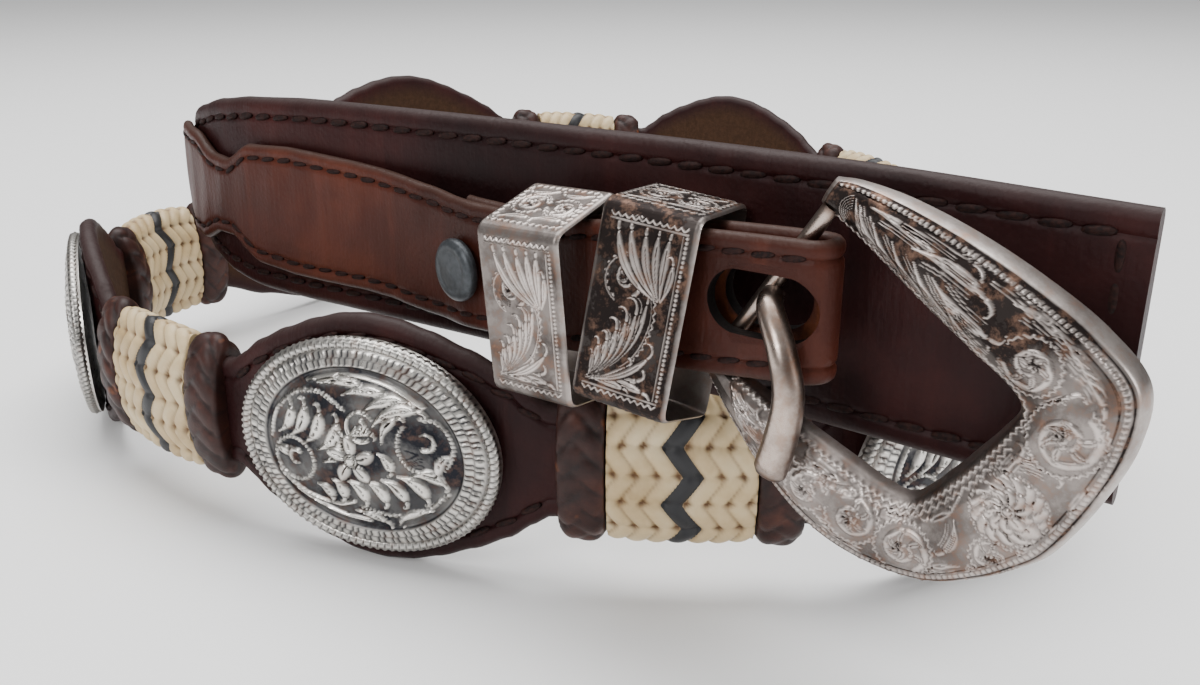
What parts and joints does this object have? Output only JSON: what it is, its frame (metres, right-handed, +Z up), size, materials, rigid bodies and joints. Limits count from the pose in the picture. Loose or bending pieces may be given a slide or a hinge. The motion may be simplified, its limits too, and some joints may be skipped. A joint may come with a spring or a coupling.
{
  "type": "western belt",
  "caption": "Scalloped western dress belt with a ranger style engraved buckle, keepers, oval conchos and braided rawhide wraps, coiled and standing on edge.",
  "frame": {"origin": "middle of the footprint's bounding box, on the floor the coiled belt stands on", "axes": "+Z up, +Y away from the front of the coil as pictured, +X to the right of that view"},
  "size_m": [0.206, 0.2408, 0.0703],
  "materials": {
    "strap_leather": "dark brown vegetable tanned leather, waxed, burnished edges",
    "billet_leather": "reddish brown leather, creased and worn",
    "ring_leather": "dark brown interlaced lace",
    "rawhide": "cream braided rawhide with ochre stains",
    "engraved_silver": "hand engraved silver plate with dark patina in the cuts",
    "snap_metal": "dark blackened snap cap"
  },
  "bodies": {
    "belt": {"strap_buckle_end": "strap_leather", "scallop_1": "strap_leather", "scallop_2": "strap_leather", "scallop_3": "strap_leather", "scallop_4": "strap_leather", "scallop_5": "strap_leather", "scallop_6": "strap_leather", "strap_tip_end": "strap_leather", "billet": "billet_leather", "snap_cap": "snap_metal", "rawhide_wrap_1": "rawhide", "rawhide_wrap_2": "rawhide", "rawhide_wrap_3": "rawhide", "rawhide_wrap_4": "rawhide", "rawhide_wrap_5": "rawhide", "rawhide_wrap_6": "rawhide", "rawhide_wrap_7": "rawhide", "braid_ring_1a": "ring_leather", "braid_ring_1b": "ring_leather", "braid_ring_2a": "ring_leather", "braid_ring_2b": "ring_leather", "braid_ring_3a": "ring_leather", "braid_ring_3b": "ring_leather", "braid_ring_4a": "ring_leather", "braid_ring_4b": "ring_leather", "braid_ring_5a": "ring_leather", "braid_ring_5b": "ring_leather", "braid_ring_6a": "ring_leather", "braid_ring_6b": "ring_leather", "braid_ring_7a": "ring_leather", "braid_ring_7b": "ring_leather", "concho_1": "engraved_silver", "concho_2": "engraved_silver", "concho_3": "engraved_silver", "concho_4": "engraved_silver", "concho_5": "engraved_silver", "concho_6": "engraved_silver"},
    "buckle": {"buckle": "engraved_silver"},
    "tongue": {"tongue": "engraved_silver"},
    "keeper_1": {"keeper_1": "engraved_silver"},
    "keeper_2": {"keeper_2": "engraved_silver"}
  },
  "joints": [
    {"name": "buckle_swing", "type": "hinge", "parent": "belt", "child": "buckle", "pos_m": [0.03094, -0.09494, 0.05538], "axis": [-0.4541, 0.3086, -0.8358], "range_deg": [-4, 12]},
    {"name": "tongue_swing", "type": "hinge", "parent": "buckle", "child": "tongue", "pos_m": [0.03094, -0.09494, 0.05538], "axis": [-0.4541, 0.3086, -0.8358], "range_deg": [0, 35]},
    {"name": "keeper_1_slide", "type": "slide", "parent": "belt", "child": "keeper_1", "axis": [-0.8018, 0.5976, 0], "range_m": [0, 0.001]},
    {"name": "keeper_2_slide", "type": "slide", "parent": "belt", "child": "keeper_2", "axis": [-0.849, 0.5284, 0], "range_m": [-0.002, 0]}
  ]
}
